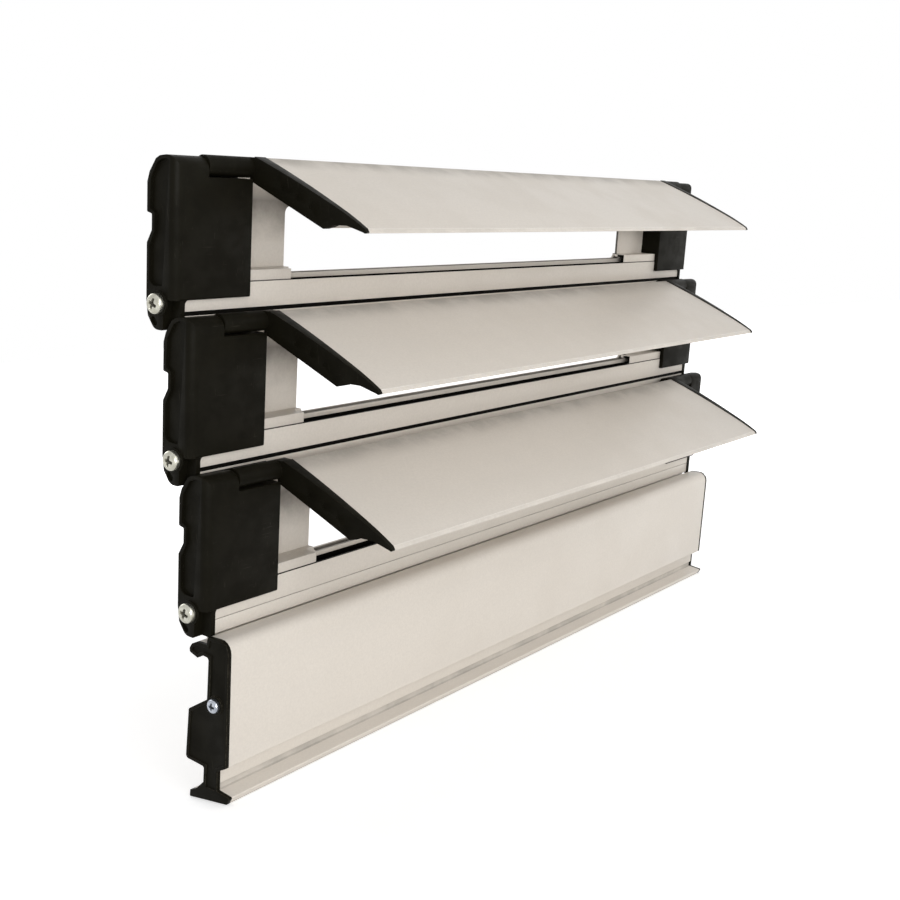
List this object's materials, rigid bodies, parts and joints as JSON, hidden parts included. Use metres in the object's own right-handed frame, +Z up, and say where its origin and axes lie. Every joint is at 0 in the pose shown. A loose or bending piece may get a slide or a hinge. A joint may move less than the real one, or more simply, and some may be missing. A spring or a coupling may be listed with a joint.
{
  "type": "brise soleil",
  "caption": "Hinged curtain of framed units, each with a tilting sun blade on side links, closed below by a hollow slat with a flat foot.",
  "frame": {"origin": "on the axis of the top hinge knuckle, at the middle of its length", "axes": "+X along the slats to the right seen from the front, +Y to the back towards the window, +Z up"},
  "size_m": [0.4348, 0.0851, 0.2525],
  "materials": {
    "powder_coat": "matt warm light grey powder coat on extruded aluminium",
    "black_plastic": "fine satin grain, moulded",
    "zinc_plate": "zinc plated, slightly yellow at the rim"
  },
  "bodies": {
    "unit_top": {"carrier_top": "powder_coat", "link_left_top": "black_plastic", "link_right_top": "black_plastic", "link_screws_top": "zinc_plate", "pivot_pins_top": "zinc_plate"},
    "tilting_blade_top": {"blade_top": "powder_coat", "blade_cap_left_top": "black_plastic", "blade_cap_right_top": "black_plastic"},
    "unit_middle": {"carrier_middle": "powder_coat", "link_left_middle": "black_plastic", "link_right_middle": "black_plastic", "link_screws_middle": "zinc_plate", "pivot_pins_middle": "zinc_plate"},
    "tilting_blade_middle": {"blade_middle": "powder_coat", "blade_cap_left_middle": "black_plastic", "blade_cap_right_middle": "black_plastic"},
    "unit_bottom": {"carrier_bottom": "powder_coat", "link_left_bottom": "black_plastic", "link_right_bottom": "black_plastic", "link_screws_bottom": "zinc_plate", "pivot_pins_bottom": "zinc_plate"},
    "tilting_blade_bottom": {"blade_bottom": "powder_coat", "blade_cap_left_bottom": "black_plastic", "blade_cap_right_bottom": "black_plastic"},
    "closing_slat": {"closing_profile": "powder_coat", "closing_cap_left": "black_plastic", "closing_cap_right": "black_plastic", "closing_screws": "zinc_plate"}
  },
  "joints": [
    {"name": "fold_middle", "type": "hinge", "parent": "unit_top", "child": "unit_middle", "pos_m": [0, 0, -0.06], "axis": [1, 0, 0], "range_deg": [0, 40]},
    {"name": "fold_bottom", "type": "hinge", "parent": "unit_middle", "child": "unit_bottom", "pos_m": [0, 0, -0.12], "axis": [1, 0, 0], "range_deg": [0, 40]},
    {"name": "fold_closing_slat", "type": "hinge", "parent": "unit_bottom", "child": "closing_slat", "pos_m": [0, 0, -0.18], "axis": [1, 0, 0], "range_deg": [0, 28]},
    {"name": "tilt_top", "type": "hinge", "parent": "unit_top", "child": "tilting_blade_top", "pos_m": [0, -0.01183, -0.002], "axis": [1, 0, 0], "range_deg": [0, 52]},
    {"name": "tilt_middle", "type": "hinge", "parent": "unit_middle", "child": "tilting_blade_middle", "pos_m": [0, -0.01183, -0.062], "axis": [1, 0, 0], "range_deg": [0, 52]},
    {"name": "tilt_bottom", "type": "hinge", "parent": "unit_bottom", "child": "tilting_blade_bottom", "pos_m": [0, -0.01183, -0.122], "axis": [1, 0, 0], "range_deg": [0, 52]}
  ],
  "couplings": [
    {"joint": "tilt_middle", "follows": "tilt_top", "ratio": 1},
    {"joint": "tilt_bottom", "follows": "tilt_top", "ratio": 1}
  ]
}
